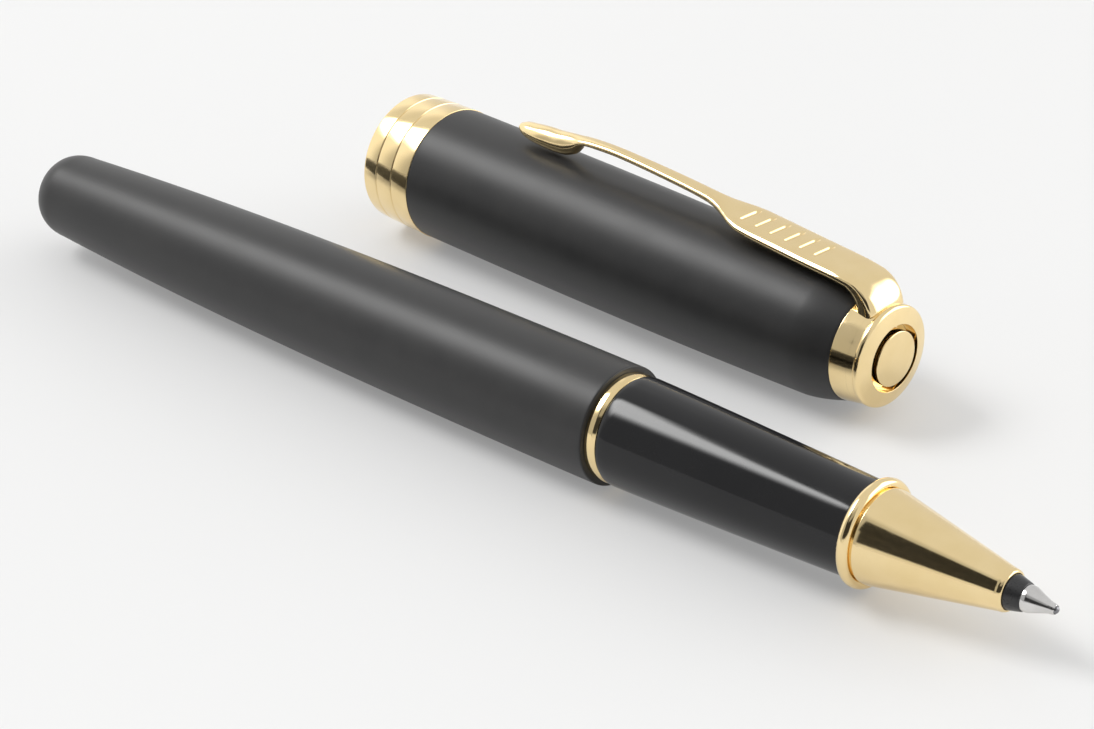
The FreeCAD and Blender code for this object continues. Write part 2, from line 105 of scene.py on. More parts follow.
def rounded(corners):
    """Outline points from (x, r) or (x, r, cut) corners; cut is where the rounding starts."""
    points = []
    for i, corner in enumerate(corners):
        here = Vector(corner[:2])
        if len(corner) < 3:
            points.append(here)
            continue
        before = Vector(corners[i - 1][:2])
        after = Vector(corners[(i + 1) % len(corners)][:2])
        start = here + (before - here).normalized() * corner[2]
        end = here + (after - here).normalized() * corner[2]
        for step in range(ROUNDING_STEPS + 1):
            t = step / ROUNDING_STEPS
            points.append(start * (1 - t) ** 2 + here * 2 * t * (1 - t) + end * t * t)
    return points


def spaced(start, end, step):
    """Even places from start to end, no further apart than step."""
    count = max(2, int(math.ceil((end - start) / step)))
    return [start + (end - start) * i / count for i in range(count + 1)]


def lathe(name, outline, place, body, node, material, segments=SEGMENTS):
    """Closed (x, r) outline turned about the place's own X axis, in the place of a CAD node."""
    verts = []
    rings = []
    for x, r in outline:
        if r < 1e-6:
            rings.append([len(verts)])
            verts.append((x, 0.0, 0.0))
            continue
        rings.append(list(range(len(verts), len(verts) + segments)))
        for k in range(segments):
            angle = 2 * math.pi * k / segments
            verts.append((x, r * math.sin(angle), r * math.cos(angle)))
    faces = []
    for i, ring in enumerate(rings):
        after = rings[(i + 1) % len(rings)]
        if len(ring) == 1 and len(after) == 1:
            continue
        for k in range(segments):
            n = (k + 1) % segments
            if len(ring) == 1:
                faces.append((ring[0], after[n], after[k]))
            elif len(after) == 1:
                faces.append((ring[k], ring[n], after[0]))
            else:
                faces.append((ring[k], ring[n], after[n], after[k]))
    piece = smooth_object(name, verts, faces, place, material, TURNED_SHARP)
    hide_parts(node)
    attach(piece, body)


def curve_value(knots, x):
    """Smooth value at x through (x, value) knots, monotone between them."""
    if x <= knots[0][0]:
        return knots[0][1]
    if x >= knots[-1][0]:
        return knots[-1][1]
    xs = [knot[0] for knot in knots]
    ys = [knot[1] for knot in knots]

    def secant(j):
        return (ys[j + 1] - ys[j]) / (xs[j + 1] - xs[j])

    def slope(j):
        if j == 0:
            return secant(0)
        if j == len(knots) - 1:
            return secant(j - 1)
        left, right = secant(j - 1), secant(j)
        return 2 * left * right / (left + right) if left * right > 0 else 0.0

    i = next(j for j in range(len(knots) - 1) if x <= xs[j + 1])
    span = xs[i + 1] - xs[i]
    t = (x - xs[i]) / span
    return ((2 * t ** 3 - 3 * t * t + 1) * ys[i] + (t ** 3 - 2 * t * t + t) * slope(i) * span
            + (3 * t * t - 2 * t ** 3) * ys[i + 1] + (t ** 3 - t * t) * slope(i + 1) * span)


# ------------------------------------------------------------------ materials
EVEN = (1, 1, 1)
NOISE_LOW, NOISE_HIGH = 0.3, 0.7       # the range that a noise value mostly keeps to


def material(name, metallic, roughness, **constants):
    mat = bpy.data.materials.new(name)
    mat.use_nodes = True
    nodes = mat.node_tree.nodes
    bsdf = nodes["Principled BSDF"]
    bsdf.inputs["Metallic"].default_value = metallic
    bsdf.inputs["Roughness"].default_value = roughness
    for socket, value in constants.items():
        bsdf.inputs[socket.replace("_", " ")].default_value = value
    return mat, nodes, mat.node_tree.links, bsdf


def noise(nodes, links, scale, size, detail, rough):
    place = nodes.new("ShaderNodeTexCoord")
    mapping = nodes.new("ShaderNodeMapping")
    mapping.inputs["Scale"].default_value = scale
    links.new(place.outputs["Object"], mapping.inputs["Vector"])
    node = nodes.new("ShaderNodeTexNoise")
    node.inputs["Scale"].default_value = size
    node.inputs["Detail"].default_value = detail
    node.inputs["Roughness"].default_value = rough
    links.new(mapping.outputs["Vector"], node.inputs["Vector"])
    return node.outputs["Fac"]


def spread(nodes, links, value, low, high):
    """Map a noise value onto low..high."""
    node = nodes.new("ShaderNodeMapRange")
    node.inputs["From Min"].default_value = NOISE_LOW
    node.inputs["From Max"].default_value = NOISE_HIGH
    node.inputs["To Min"].default_value = low
    node.inputs["To Max"].default_value = high
    links.new(value, node.inputs["Value"])
    return node.outputs["Result"]


def tint(nodes, links, value, first, second):
    """Map a noise value onto the colours from first to second."""
    ramp = nodes.new("ShaderNodeValToRGB")
    ramp.color_ramp.elements[0].position = NOISE_LOW
    ramp.color_ramp.elements[0].color = (*first, 1)
    ramp.color_ramp.elements[1].position = NOISE_HIGH
    ramp.color_ramp.elements[1].color = (*second, 1)
    links.new(value, ramp.inputs["Fac"])
    return ramp.outputs["Color"]


def bump(nodes, links, value, distance):
    node = nodes.new("ShaderNodeBump")
    node.inputs["Distance"].default_value = distance
    node.inputs["Strength"].default_value = 1.0
    links.new(value, node.inputs["Height"])
    return node.outputs["Normal"]


def satin_lacquer():
    """Matte black lacquer with a fine grain and faint cloudiness."""
    mat, nodes, links, bsdf = material("satin_black_lacquer", 0.0, 0.42, IOR=1.42)
    grain = noise(nodes, links, EVEN, 9000, 2.0, 0.6)
    cloud = noise(nodes, links, EVEN, 260, 4.0, 0.6)
    links.new(tint(nodes, links, cloud, (0.026, 0.026, 0.0265), (0.033, 0.0325, 0.0325)),
              bsdf.inputs["Base Color"])
    links.new(spread(nodes, links, cloud, 0.385, 0.425), bsdf.inputs["Roughness"])
    links.new(bump(nodes, links, grain, 0.0000035), bsdf.inputs["Normal"])
    return mat


def gloss_lacquer():
    """Glossy black grip: nearly a mirror, with faint wipe marks in its gloss."""
    mat, nodes, links, bsdf = material("gloss_black_lacquer", 0.0, 0.08, IOR=1.40)
    wipe = noise(nodes, links, (0.25, 1, 1), 900, 5.0, 0.65)
    haze = noise(nodes, links, EVEN, 120, 3.0, 0.5)
    links.new(tint(nodes, links, haze, (0.008, 0.008, 0.009), (0.012, 0.012, 0.013)),
              bsdf.inputs["Base Color"])
    links.new(spread(nodes, links, wipe, 0.055, 0.10), bsdf.inputs["Roughness"])
    links.new(bump(nodes, links, haze, 0.000002), bsdf.inputs["Normal"])
    return mat


def polished_gold():
    """Gold plate: polished, with a little variation in tone and very fine hairlines."""
    mat, nodes, links, bsdf = material("polished_gold_plate", 1.0, 0.09)
    tone = noise(nodes, links, EVEN, 350, 3.0, 0.5)
    hairline = noise(nodes, links, (0.12, 1.4, 1.4), 5200, 3.0, 0.7)
    links.new(tint(nodes, links, tone, (0.90, 0.70, 0.37), (0.94, 0.745, 0.415)), bsdf.inputs["Base Color"])
    links.new(spread(nodes, links, hairline, 0.06, 0.13), bsdf.inputs["Roughness"])
    links.new(bump(nodes, links, hairline, 0.0000006), bsdf.inputs["Normal"])
    return mat


def turned_metal(name, dark, light, smooth, rough):
    """Machined metal with fine rings round its axis."""
    mat, nodes, links, bsdf = material(name, 1.0, smooth)
    rings = noise(nodes, links, (1, 0.03, 0.03), 9000, 4.0, 0.7)
    tone = noise(nodes, links, EVEN, 500, 3.0, 0.5)
    links.new(tint(nodes, links, tone, dark, light), bsdf.inputs["Base Color"])
    links.new(spread(nodes, links, rings, smooth, rough), bsdf.inputs["Roughness"])
    links.new(bump(nodes, links, rings, 0.000002), bsdf.inputs["Normal"])
    return mat


def moulded_plastic(name, dark, light, smooth, rough):
    """Moulded plastic with a fine texture."""
    mat, nodes, links, bsdf = material(name, 0.0, smooth)
    grain = noise(nodes, links, EVEN, 7000, 3.0, 0.6)
    tone = noise(nodes, links, EVEN, 300, 3.0, 0.5)
    links.new(tint(nodes, links, tone, dark, light), bsdf.inputs["Base Color"])
    links.new(spread(nodes, links, grain, smooth, rough), bsdf.inputs["Roughness"])
    links.new(bump(nodes, links, grain, 0.000003), bsdf.inputs["Normal"])
    return mat


def ink_fibre():
    """Ink-soaked fibre with strands along the pen."""
    mat, nodes, links, bsdf = material("ink_fibre", 0.0, 0.8)
    strands = noise(nodes, links, (0.04, 1, 1), 9000, 4.0, 0.7)
    links.new(tint(nodes, links, strands, (0.02, 0.03, 0.16), (0.07, 0.10, 0.36)), bsdf.inputs["Base Color"])
    links.new(spread(nodes, links, strands, 0.65, 0.9), bsdf.inputs["Roughness"])
    links.new(bump(nodes, links, strands, 0.00002), bsdf.inputs["Normal"])
    return mat


LACQUER = satin_lacquer()
GLOSS = gloss_lacquer()
GOLD = polished_gold()
BRASS = turned_metal("machined_brass", (0.60, 0.42, 0.17), (0.72, 0.52, 0.24), 0.18, 0.34)
SPRING = turned_metal("spring_steel", (0.50, 0.50, 0.51), (0.62, 0.62, 0.63), 0.2, 0.35)
REFILL = turned_metal("refill_satin_metal", (0.60, 0.61, 0.62), (0.68, 0.69, 0.70), 0.25, 0.38)
STEEL = turned_metal("tip_steel", (0.62, 0.61, 0.60), (0.74, 0.73, 0.72), 0.10, 0.2)
CARBIDE = turned_metal("ball_carbide", (0.20, 0.20, 0.21), (0.27, 0.27, 0.28), 0.10, 0.18)
COLLAR = moulded_plastic("collar_black", (0.018, 0.018, 0.019), (0.028, 0.028, 0.029), 0.25, 0.35)
LINER = moulded_plastic("liner_black", (0.030, 0.030, 0.032), (0.045, 0.045, 0.048), 0.5, 0.62)
PLUG = moulded_plastic("plug_grey", (0.25, 0.26, 0.28), (0.33, 0.34, 0.36), 0.45, 0.6)
FIBRE = ink_fibre()

# the pieces inside keep their CAD shape
for node, finish in {
    "barrel_thread_insert": BRASS, "threaded_ferrule": BRASS, "section_liner": BRASS,
    "threaded_bush": BRASS, "spring_seat": PLUG, "refill_rear_plug": PLUG, "refill_spring": SPRING,
    "cap_clutch_ring": SPRING, "finial_screw": SPRING, "refill_tube": REFILL, "ink_reservoir": FIBRE,
    "ink_feed_rod": FIBRE, "cap_inner_liner": LINER, "crown_washer": LINER,
}.items():
    mesh = frame["nodes"][node].data
    mesh.materials.clear()
    mesh.materials.append(finish)


# ------------------------------------------------------------------ pen: x is mm from its tail, r is mm
BARREL_END, BARREL_R, BARREL_WIDEST = 72.95, 5.40, 64.0
BARREL_BORE_R, INSERT_SEAT_R, INSERT_SEAT = 3.50, 4.70, 57.95
BARREL_FLOOR = 2.4                     # inner face of the closed tail
DOME_LENGTH, DOME_POWER, DOME_STEPS = 3.6, 2.4, 30
RING_START, RING_END, RING_BORE_R, RING_R = 72.97, 74.11, 4.06, 4.90
SECTION_START, SECTION_END, SECTION_REAR_R, SECTION_BORE_R = 74.15, 99.35, 4.94, 3.80
BEAD_HALF, BEAD_MIDDLE_R, BEAD_BULGE = 0.56, 4.24, 0.5
SPIGOT_START, SPIGOT_R, SPIGOT_BORE_R = 92.15, 3.42, 3.07
CONE_START, CONE_END, CONE_REAR_R, CONE_FRONT_R = 100.65, 113.40, 4.16, 1.74
CONE_LIP, CONE_MOUTH_R = 0.55, 1.56
HOLDER_START, HOLDER_BORE_R = 94.7, 0.5
TIP_STEM_START, TIP_STEM_R, TIP_BORE_R = 111.35, 0.8, 0.25
COLLAR_END, TIP_END, BALL_R = 114.75, 117.70, 0.35
BALL_X = TIP_END - BALL_R


def barrel_radius(x):
    if x < BARREL_WIDEST:
        return BARREL_R - 1.55 * ((BARREL_WIDEST - x) / BARREL_WIDEST) ** 2.56
    return BARREL_R - 0.04 * ((x - BARREL_WIDEST) / 10.0) ** 2


def make_barrel():
    top = barrel_radius(DOME_LENGTH)
    outline = [(0.0, 0.0)]
    for i in range(1, DOME_STEPS + 1):
        angle = math.pi / 2 * i / DOME_STEPS
        outline.append((DOME_LENGTH * (1 - max(math.cos(angle), 0.0) ** (2 / DOME_POWER)),
                        top * math.sin(angle) ** (2 / DOME_POWER)))
    edge = BARREL_END - 0.3
    outline += [(x, barrel_radius(x)) for x in spaced(DOME_LENGTH + 1.0, edge, 1.0)]
    rim = barrel_radius(BARREL_END)
    outline += rounded([
        (edge, rim), (BARREL_END, rim, 0.14), (BARREL_END, INSERT_SEAT_R, 0.05), (INSERT_SEAT, INSERT_SEAT_R),
        (INSERT_SEAT - 0.8, BARREL_BORE_R), (BARREL_FLOOR + 0.4, BARREL_BORE_R),
        (BARREL_FLOOR, BARREL_BORE_R - 0.4), (BARREL_FLOOR, 0.0)])[1:]
    lathe("barrel_skin", outline, PEN, "barrel", "barrel_tube", LACQUER)


def make_centre_ring():
    outline = rounded([(RING_START, RING_BORE_R), (RING_START, RING_R - 0.01, 0.07), (73.76, RING_R, 0.10),
                       (RING_END, RING_R - 0.14, 0.05), (RING_END, RING_BORE_R)])
    lathe("centre_ring_gold", outline, PEN, "ring", "centre_ring", GOLD)


def section_radius(x):
    share = (x - SECTION_START) / (SECTION_END - SECTION_START)
    return SECTION_REAR_R - 0.76 * max(share, 0.0) ** 1.2


def make_section():
    shoulder, edge = SECTION_START + 0.5, SECTION_END - 0.25
    front_r = section_radius(SECTION_END)
    outline = rounded([
        (SECTION_START, SECTION_BORE_R), (SECTION_START, SECTION_REAR_R - 0.24, 0.04),
        (SECTION_START + 0.14, SECTION_REAR_R - 0.06, 0.08), (shoulder, section_radius(shoulder))])
    outline += [(x, section_radius(x)) for x in spaced(SECTION_START + 1.0, edge, 0.8)]
    outline += rounded([(edge, front_r), (SECTION_END, front_r, 0.08), (SECTION_END, SECTION_BORE_R)])[1:]
    lathe("grip_skin", outline, PEN, "section", "grip_section", GLOSS)


def make_front_ring():
    outline = [(SECTION_END, SPIGOT_R), (SECTION_END, BEAD_MIDDLE_R)]
    for degrees in range(-84, 97, 9):
        angle = math.radians(degrees)
        outline.append((SECTION_END + BEAD_HALF + BEAD_HALF * math.sin(angle),
                        BEAD_MIDDLE_R + BEAD_BULGE * math.cos(angle)))
    foot_r = BEAD_MIDDLE_R - 0.26
    outline += rounded([(SECTION_END + 2 * BEAD_HALF, foot_r, 0.03), (CONE_START, foot_r, 0.02),
                        (CONE_START, SPIGOT_R)])
    lathe("front_bead", outline, PEN, "section", "front_ring", GOLD)


def cone_radius(x):
    return CONE_REAR_R + (CONE_FRONT_R - CONE_REAR_R) * (x - CONE_START) / (CONE_END - CONE_START)


def make_cone():
    shoulder, lip = CONE_START + 0.5, CONE_END - CONE_LIP
    outline = rounded([(SPIGOT_START, SPIGOT_BORE_R), (SPIGOT_START, SPIGOT_R, 0.05), (CONE_START, SPIGOT_R),
                       (CONE_START, CONE_REAR_R - 0.01, 0.09), (shoulder, cone_radius(shoulder))])
    outline += [(x, cone_radius(x)) for x in spaced(CONE_START + 1.0, lip - 0.1, 0.8)]
    front_r = CONE_MOUTH_R + 0.04
    for degrees in range(0, 91, 10):
        angle = math.radians(degrees)
        outline.append((lip + CONE_LIP * math.sin(angle),
                        front_r + (cone_radius(lip) - front_r) * math.cos(angle)))
    outline += [(CONE_END, CONE_MOUTH_R), (108.0, CONE_MOUTH_R), (102.7, SPIGOT_BORE_R)]
    lathe("nose_cone_gold", outline, PEN, "section", "nose_cone", GOLD)


def make_nose_holder():
    outline = rounded([
        (HOLDER_START, HOLDER_BORE_R), (HOLDER_START, 2.72), (101.7, 2.72), (101.7, 3.0), (102.3, 3.0, 0.3),
        (107.6, 1.5, 0.3), (113.55, 1.5, 0.2), (COLLAR_END, 1.20, 0.14), (COLLAR_END, TIP_STEM_R),
        (TIP_STEM_START, TIP_STEM_R), (TIP_STEM_START, HOLDER_BORE_R)])
    lathe("nose_collar", outline, PEN, "refill", "refill_nose_holder", COLLAR)


def make_tip():
    outline = rounded([
        (TIP_STEM_START, TIP_BORE_R), (TIP_STEM_START, TIP_STEM_R), (COLLAR_END, TIP_STEM_R),
        (COLLAR_END, 1.12, 0.05), (COLLAR_END + 0.42, 1.12, 0.12), (BALL_X - 0.62, 0.56, 0.18),
        (BALL_X - 0.40, 0.50, 0.05), (BALL_X + 0.04, 0.44, 0.10), (BALL_X + 0.12, 0.371, 0.02)])
    seat_r = BALL_R + 0.04
    for degrees in (84, 96, 108, 120, 130, 140):
        angle = math.radians(degrees)
        outline.append((BALL_X + seat_r * math.cos(angle), seat_r * math.sin(angle)))
    lathe("tip_steel", outline, PEN, "refill", "writing_tip", STEEL, TIP_SEGMENTS)


def make_ball():
    steps = 24
    outline = [(BALL_X - BALL_R, 0.0)]
    for i in range(1, steps):
        angle = math.pi * i / steps
        outline.append((BALL_X - BALL_R * math.cos(angle), BALL_R * math.sin(angle)))
    outline.append((BALL_X + BALL_R, 0.0))
    lathe("tip_ball", outline, PEN, "ball", "writing_ball", CARBIDE, BALL_SEGMENTS)


make_barrel()
make_centre_ring()
make_section()
make_front_ring()
make_cone()
make_nose_holder()
make_tip()
make_ball()


# ------------------------------------------------------------------ cap: x is mm from its mouth, r is mm
MOUTH_R, BAND_REAR_R, BAND_END = 6.29, 6.47, 6.02
BAND_GROOVES = (1.78, 3.84)
BAND_GROOVE_DEPTH, BAND_GROOVE_FLOOR_HALF, BAND_GROOVE_HALF = 0.10, 0.03, 0.085
BAND_BORE_R, SPIGOT_SEAT_R, BAND_SPIGOT_END = 5.20, 5.70, 9.0
SHELL_R, SHELL_WIDEST, SHELL_END = 6.43, 16.0, 57.00
SHOULDER, SHOULDER_DROP, SHOULDER_STEPS = 53.0, 0.86, 24
SHELL_BORE_R, SHELL_BORE_END, BUSH_R = 5.3, 54.1, 1.85
LINER_SEAT_END, WASHER_R, WASHER_REAR = 42.0, 3.4, 56.3
COLLAR_REAR_R, COLLAR_FRONT_R, CROWN_COLLAR_END = 5.03, 4.76, 58.705
CROWN_BORE_R, SCREW_HOLE_R = 3.6, 1.75
FLANGE_START, FLANGE_NECK, FLANGE_EDGE, FLANGE_FACE = 58.25, 59.36, 59.87, 60.31
FLANGE_R, FLANGE_NECK_R, RECESS_R, RECESS_FLOOR = 4.74, 4.655, 3.11, 59.15
DISC_REAR, DISC_FACE, DISC_R = 59.55, 60.46, 2.58


def cap_radius(x):
    if x > SHELL_WIDEST:
        return SHELL_R - 0.60 * ((x - SHELL_WIDEST) / 40.0) ** 2.3
    return SHELL_R - 0.02 * ((SHELL_WIDEST - x) / 10.0) ** 2


def make_lip_band():
    slope = (BAND_REAR_R - MOUTH_R) / BAND_END
    corners = [(0.0, BAND_BORE_R + 0.10, 0.10), (0.0, MOUTH_R - 0.02, 0.22)]
    for centre in BAND_GROOVES:
        r = MOUTH_R + slope * centre
        floor_r = r - BAND_GROOVE_DEPTH
        corners += [(centre - BAND_GROOVE_HALF, r, 0.025), (centre - BAND_GROOVE_FLOOR_HALF, floor_r, 0.02),
                    (centre + BAND_GROOVE_FLOOR_HALF, floor_r, 0.02), (centre + BAND_GROOVE_HALF, r, 0.025)]
    corners += [(BAND_END, BAND_REAR_R, 0.07), (BAND_END, SPIGOT_SEAT_R), (BAND_SPIGOT_END, SPIGOT_SEAT_R),
                (BAND_SPIGOT_END, BAND_BORE_R)]
    lathe("lip_band_gold", rounded(corners), CAP, "cap", "cap_lip_band", GOLD)


def make_shell():
    start, top = cap_radius(BAND_END), cap_radius(SHOULDER)
    outline = rounded([(BAND_END, SPIGOT_SEAT_R), (BAND_END, start - 0.01, 0.05), (BAND_END + 0.4, start)])
    outline += [(x, cap_radius(x)) for x in spaced(BAND_END + 1.0, SHOULDER, 1.0)]
    length = SHELL_END - 0.12 - SHOULDER
    taper = (cap_radius(SHOULDER - 0.1) - top) * 10 * length    # the shell's own slope, carried on
    for i in range(1, SHOULDER_STEPS + 1):
        share = i / SHOULDER_STEPS
        outline.append((SHOULDER + length * share,
                        top - taper * share - (SHOULDER_DROP - taper) * share ** 1.6))
    outline += [(SHELL_END, top - 1.0), (SHELL_END, WASHER_R), (WASHER_REAR, WASHER_R), (WASHER_REAR, BUSH_R),
                (SHELL_BORE_END, BUSH_R), (SHELL_BORE_END, SHELL_BORE_R), (LINER_SEAT_END, SHELL_BORE_R),
                (LINER_SEAT_END, SPIGOT_SEAT_R)]
    lathe("cap_skin", outline, CAP, "cap", "cap_shell", LACQUER)


def make_crown():
    collar = rounded([
        (SHELL_END, SCREW_HOLE_R), (SHELL_END, COLLAR_REAR_R, 0.07), (CROWN_COLLAR_END, COLLAR_FRONT_R),
        (CROWN_COLLAR_END, CROWN_BORE_R), (SHELL_END + 0.25, CROWN_BORE_R), (SHELL_END + 0.25, SCREW_HOLE_R)])
    lathe("crown_collar_gold", collar, CAP, "cap", "crown_collar", GOLD)
    flange_rear, inner_r = CROWN_COLLAR_END + 0.005, CROWN_BORE_R - 0.05
    flange = rounded([
        (FLANGE_START, SCREW_HOLE_R), (FLANGE_START, inner_r), (flange_rear, inner_r),
        (flange_rear, COLLAR_FRONT_R), (FLANGE_NECK, FLANGE_NECK_R, 0.03), (59.47, FLANGE_R - 0.005, 0.05),
        (FLANGE_EDGE, FLANGE_R, 0.26), (FLANGE_FACE, RECESS_R + 0.03, 0.06), (RECESS_FLOOR, RECESS_R, 0.05),
        (RECESS_FLOOR, SCREW_HOLE_R)])
    lathe("crown_flange_gold", flange, CAP, "cap", "crown_flange_ring", GOLD)
    disc = rounded([(DISC_REAR, 0.0), (DISC_REAR, DISC_R, 0.05), (DISC_FACE, DISC_R, 0.13), (DISC_FACE, 0.0)])
    lathe("finial_disc_gold", disc, CAP, "cap", "finial_disc", GOLD)


make_lip_band()
make_shell()
make_crown()


# ------------------------------------------------------------------ clip
# knots along the cap: height of its middle, half width, height above and below the middle, squareness of
# its top and underside, and how far above the middle its bevelled edge starts
CLIP_V = [(14.95, 7.92), (15.6, 7.73), (17.0, 7.57), (19.0, 7.58), (20.8, 7.73), (22.0, 8.16), (22.9, 8.65),
          (23.6, 8.81), (24.5, 8.88), (27.0, 8.96), (30.0, 8.88), (33.0, 8.74), (36.5, 8.51), (38.8, 8.28),
          (40.2, 8.04), (41.3, 7.84), (42.4, 7.64), (43.6, 7.46), (45.5, 7.28), (48.5, 7.06), (51.5, 6.86),
          (54.0, 6.71), (55.1, 6.62), (56.22, 6.487)]
CLIP_W = [(14.95, 0.36), (15.1, 0.60), (15.5, 0.82), (16.2, 0.98), (18.0, 1.10), (20.0, 1.08), (22.4, 0.88),
          (24.5, 0.72), (28.0, 0.68), (33.0, 0.76), (37.5, 0.84), (38.8, 0.90), (40.2, 1.20), (41.3, 1.68),
          (42.4, 2.16), (43.6, 2.44), (45.5, 2.52), (51.5, 2.52), (54.0, 2.48), (56.22, 2.42)]
CLIP_UP = [(14.95, 0.20), (15.6, 0.62), (17.0, 0.97), (19.0, 1.15), (20.8, 1.17), (22.0, 0.86), (22.9, 0.45),
           (23.6, 0.35), (27.0, 0.33), (36.5, 0.35), (40.2, 0.42), (43.6, 0.48), (48.5, 0.52), (54.0, 0.51),
           (56.22, 0.464)]
CLIP_DOWN = [(14.95, 0.24), (15.6, 0.65), (17.0, 0.81), (19.0, 0.97), (20.8, 1.02), (22.0, 1.00),
             (22.9, 0.50), (23.6, 0.36), (36.5, 0.35), (43.6, 0.42), (54.0, 0.48), (56.22, 0.464)]
TOP_SQUARE = [(14.95, 2.0), (22.0, 2.1), (26.0, 2.5), (36.0, 2.6), (41.0, 2.9), (46.0, 3.2), (54.0, 3.3),
              (56.22, 3.6)]
UNDER_SQUARE = [(14.95, 2.0), (22.0, 2.0), (26.0, 2.8), (41.0, 3.6), (54.0, 4.4), (56.22, 6.0)]
BEVEL_RIM = [(38.8, 1.0), (40.2, 0.34), (41.3, 0.16), (43.6, 0.12), (54.0, 0.12), (56.22, 0.24)]
SHAPE_KNOTS = (CLIP_W, CLIP_UP, CLIP_DOWN, TOP_SQUARE, UNDER_SQUARE, BEVEL_RIM)

CLIP_TIP, CLIP_ARM_END = CLIP_V[0][0], CLIP_V[-1][0]
TIP_ZONE_END = 16.5                    # closely spaced sections round the tip's end
LEAN_START, LEAN = 54.0, 7.0           # the sections lean by this many degrees into the bend
BEND_X, BEND_V, BEND_START = 55.95, 4.30, 83
BEND_OUTER_R, LEG_GROWTH = 2.66, 0.78  # the metal thickens outwards towards the leg
BEND_INNER_R, TOP_THINNING = 1.50, 0.33
LEG_HALF_WIDTH, LEG_DROPS = 2.42, (0.0, 0.15, 0.3, 0.7)
TOP_POINTS, UNDER_POINTS, DENSE_POINTS = 150, 44, 400

# straight grooves across the clip's plate
GROOVE_PLACES = [43.2 + 1.7 * i for i in range(6)]
GROOVE_HALF_LENGTH, GROOVE_HALF_WIDTH, GROOVE_DEPTH, GROOVE_END_RUN = 1.75, 0.32, 0.18, 0.9
FINE_START, FINE_END = 39.5, 53.5      # closely spaced sections on the plate


def clip_section(half_width, up, down, top_square, under_square, bevel_rim):
    """Closed cross-section as (across, through) points, even in spacing on its top and underside.

    Its top edges are bevelled at 45 degrees, down to bevel_rim above the middle.
    """
    points = []
    for sign, count, square in ((1, TOP_POINTS, top_square), (-1, UNDER_POINTS, under_square)):
        dense = []
        for i in range(DENSE_POINTS + 1):
            angle = math.pi * i / DENSE_POINTS
            cosine = math.cos(angle)
            across = half_width * math.copysign(abs(cosine) ** (2 / square), cosine) * sign
            through = (up if sign > 0 else down) * math.sin(angle) ** (2 / square)
            if sign > 0:
                through = min(through, bevel_rim + half_width - abs(across))
            dense.append(Vector((across, sign * through)))
        lengths = [0.0]
        for here, after in zip(dense, dense[1:]):
            lengths.append(lengths[-1] + (after - here).length)
        j = 0
        for i in range(count):
            wanted = lengths[-1] * i / count
            while lengths[j + 1] < wanted:
                j += 1
            share = (wanted - lengths[j]) / max(lengths[j + 1] - lengths[j], 1e-9)
            points.append(dense[j].lerp(dense[j + 1], share))
    return points


def groove_depth(x, across):
    beside = min(abs(x - place) for place in GROOVE_PLACES)
    past_end = max(0.0, abs(across) - GROOVE_HALF_LENGTH + GROOVE_END_RUN) / GROOVE_END_RUN
    gap = math.hypot(beside, past_end * GROOVE_HALF_WIDTH)
    if gap >= GROOVE_HALF_WIDTH:
        return 0.0
    return GROOVE_DEPTH * 0.5 * (1 + math.cos(math.pi * gap / GROOVE_HALF_WIDTH))


def arm_station(x):
    """Place, lean and cross-section values of the arm at x."""
    lean = LEAN * max(0.0, (x - LEAN_START) / (CLIP_ARM_END - LEAN_START))
    return (x, curve_value(CLIP_V, x), 90.0 - lean, *(curve_value(knots, x) for knots in SHAPE_KNOTS))


def bend_station(degrees):
    """The same values on the bend, whose top is at 90 degrees and whose leg is at 0."""
    share = degrees / 90
    turn = math.radians(degrees)
    outer = BEND_OUTER_R + LEG_GROWTH * (1 - share) ** 1.6
    inner = BEND_INNER_R + TOP_THINNING * share ** 4
    radius, half = (outer + inner) / 2, (outer - inner) / 2
    return (BEND_X + radius * math.cos(turn), BEND_V + radius * math.sin(turn), degrees, LEG_HALF_WIDTH,
            half, half, 3.4 + 0.2 * share ** 3, 8.0 - 2.0 * share ** 3, 1.0 - 0.8 * share ** 6)


def clip_stations():
    stations = []
    x = CLIP_TIP
    while x < CLIP_ARM_END - 0.03:
        stations.append(arm_station(x))
        if x < TIP_ZONE_END:
            x += 0.04 + 0.08 * (x - CLIP_TIP)
        elif FINE_START < x < FINE_END:
            x += 0.06
        else:
            x += 0.16
    stations += [bend_station(degrees) for degrees in range(BEND_START, 0, -3)]
    leg = bend_station(0)
    stations += [(leg[0], leg[1] - drop, 0.0) + leg[3:] for drop in LEG_DROPS]
    return stations


def make_clip():
    stations = clip_stations()
    verts = []
    for x, v, degrees, *shape in stations:
        out = Vector((math.cos(math.radians(degrees)), 0, math.sin(math.radians(degrees))))
        for across, through in clip_section(*shape):
            if through > 0 and FINE_START < x < FINE_END:
                through -= groove_depth(x, across)
            verts.append(Vector((x, across, v)) + out * through)
    ring = TOP_POINTS + UNDER_POINTS
    last = (len(stations) - 1) * ring
    faces = []
    for first in range(0, last, ring):
        for k in range(ring):
            n = (k + 1) % ring
            faces.append((first + k, first + ring + k, first + ring + n, first + n))
    faces.append(tuple(range(ring)))
    faces.append(tuple(reversed(range(last, last + ring))))
    piece = smooth_object("clip_gold", verts, faces, CAP, GOLD, CLIP_SHARP)
    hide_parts("clip_arm", "clip_root")
    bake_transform(piece)


make_clip()


# ------------------------------------------------------------------ floor, light and camera
FLOOR_HALF, FLOOR_DROP = 1.2, 0.00002  # metres
FLOOR_PAINTED_GLOW = 0.25                  # the floor glows by itself: painted light that keeps its shadows pale
SKY_GLOW, GROUND_GLOW = 0.79, 0.88
STUDIO_COLOUR = (1.0, 0.998, 0.992, 1)
